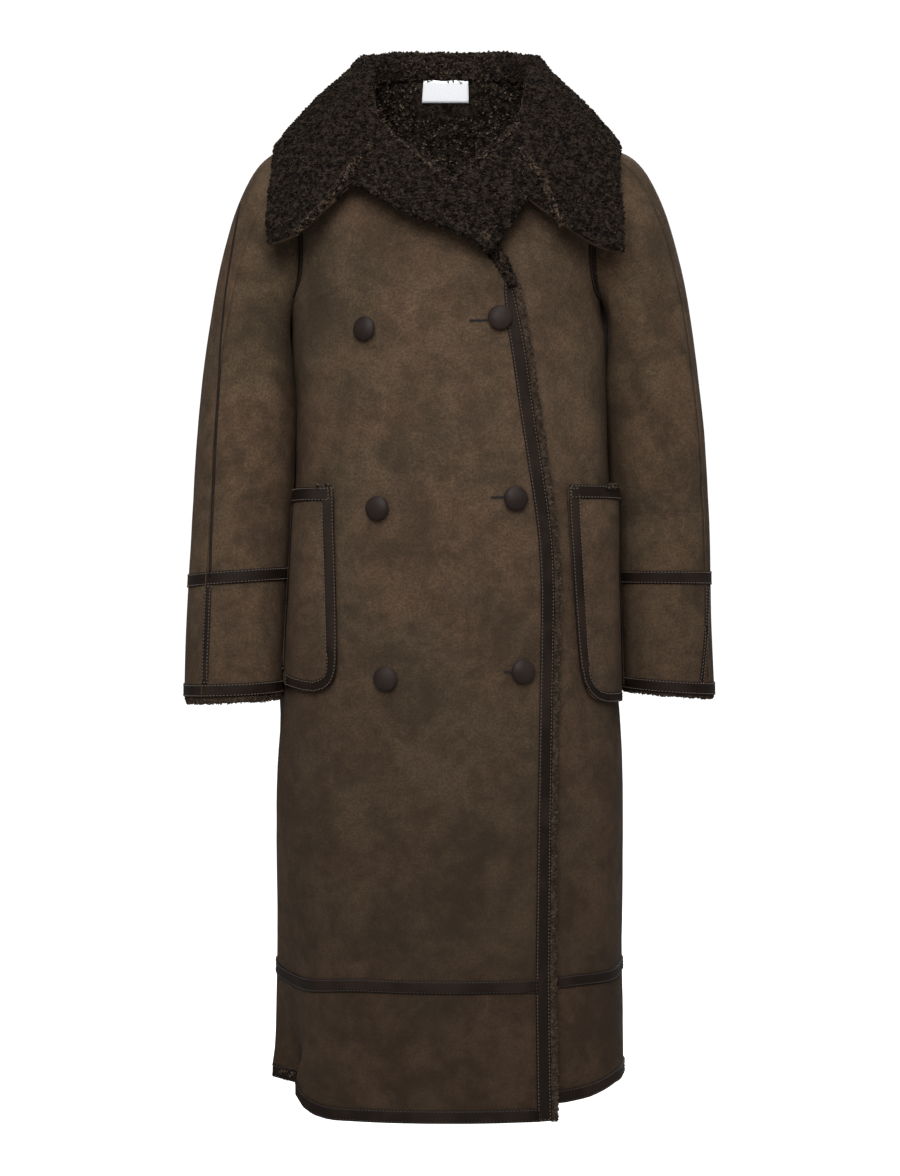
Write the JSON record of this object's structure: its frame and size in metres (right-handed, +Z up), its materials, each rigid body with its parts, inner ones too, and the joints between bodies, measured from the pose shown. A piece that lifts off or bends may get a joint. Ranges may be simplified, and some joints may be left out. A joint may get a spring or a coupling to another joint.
{
  "type": "faux fur coat",
  "caption": "Long double-breasted faux shearling coat in its worn shape, with a mottled suede face, dark curly pile collar, patch pockets and leather-look trims.",
  "frame": {"origin": "base of the wearer's neck, in the middle of the neck opening, from which the coat hangs", "axes": "+Z up along the wearer's back, +Y towards the back of the coat, so the front faces -Y; +X is the wearer's left"},
  "size_m": [0.5911, 0.3164, 1.19],
  "materials": {
    "suede": "matt mottled faux suede",
    "leather": "dark satin faux leather",
    "pile": "curly faux shearling pile",
    "label": "plain woven label, bare"
  },
  "bodies": {
    "root": {"armhole_strip_left": "leather", "armhole_strip_right": "leather", "back_left": "suede", "back_right": "suede", "button_lower_left": "leather", "button_lower_right": "leather", "button_middle_left": "leather", "button_middle_right": "leather", "button_upper_left": "leather", "button_upper_right": "leather", "collar": "pile", "front_edge_pile": "pile", "front_edge_strip": "leather", "front_left": "suede", "front_right": "suede", "hem_band_back": "leather", "hem_band_front_left": "leather", "hem_band_front_right": "leather", "lapel_left": "pile", "lapel_right": "pile", "neck_label": "label", "pocket_left": "suede", "pocket_left_band": "leather", "pocket_left_front_strip": "leather", "pocket_left_low_strip": "leather", "pocket_left_outer_strip": "leather", "pocket_right": "suede", "pocket_right_band": "leather", "pocket_right_front_strip": "leather", "pocket_right_low_strip": "leather", "pocket_right_outer_strip": "leather", "skirt_band_back": "leather", "skirt_band_front_left": "leather", "skirt_band_front_right": "leather", "sleeve_left_back": "suede", "sleeve_left_band": "leather", "sleeve_left_cuff_band": "leather", "sleeve_left_cuff_pile": "pile", "sleeve_left_front": "suede", "sleeve_left_seam_strip": "leather", "sleeve_right_back": "suede", "sleeve_right_band": "leather", "sleeve_right_cuff_band": "leather", "sleeve_right_cuff_pile": "pile", "sleeve_right_front": "suede", "sleeve_right_seam_strip": "leather"}
  },
  "joints": []
}
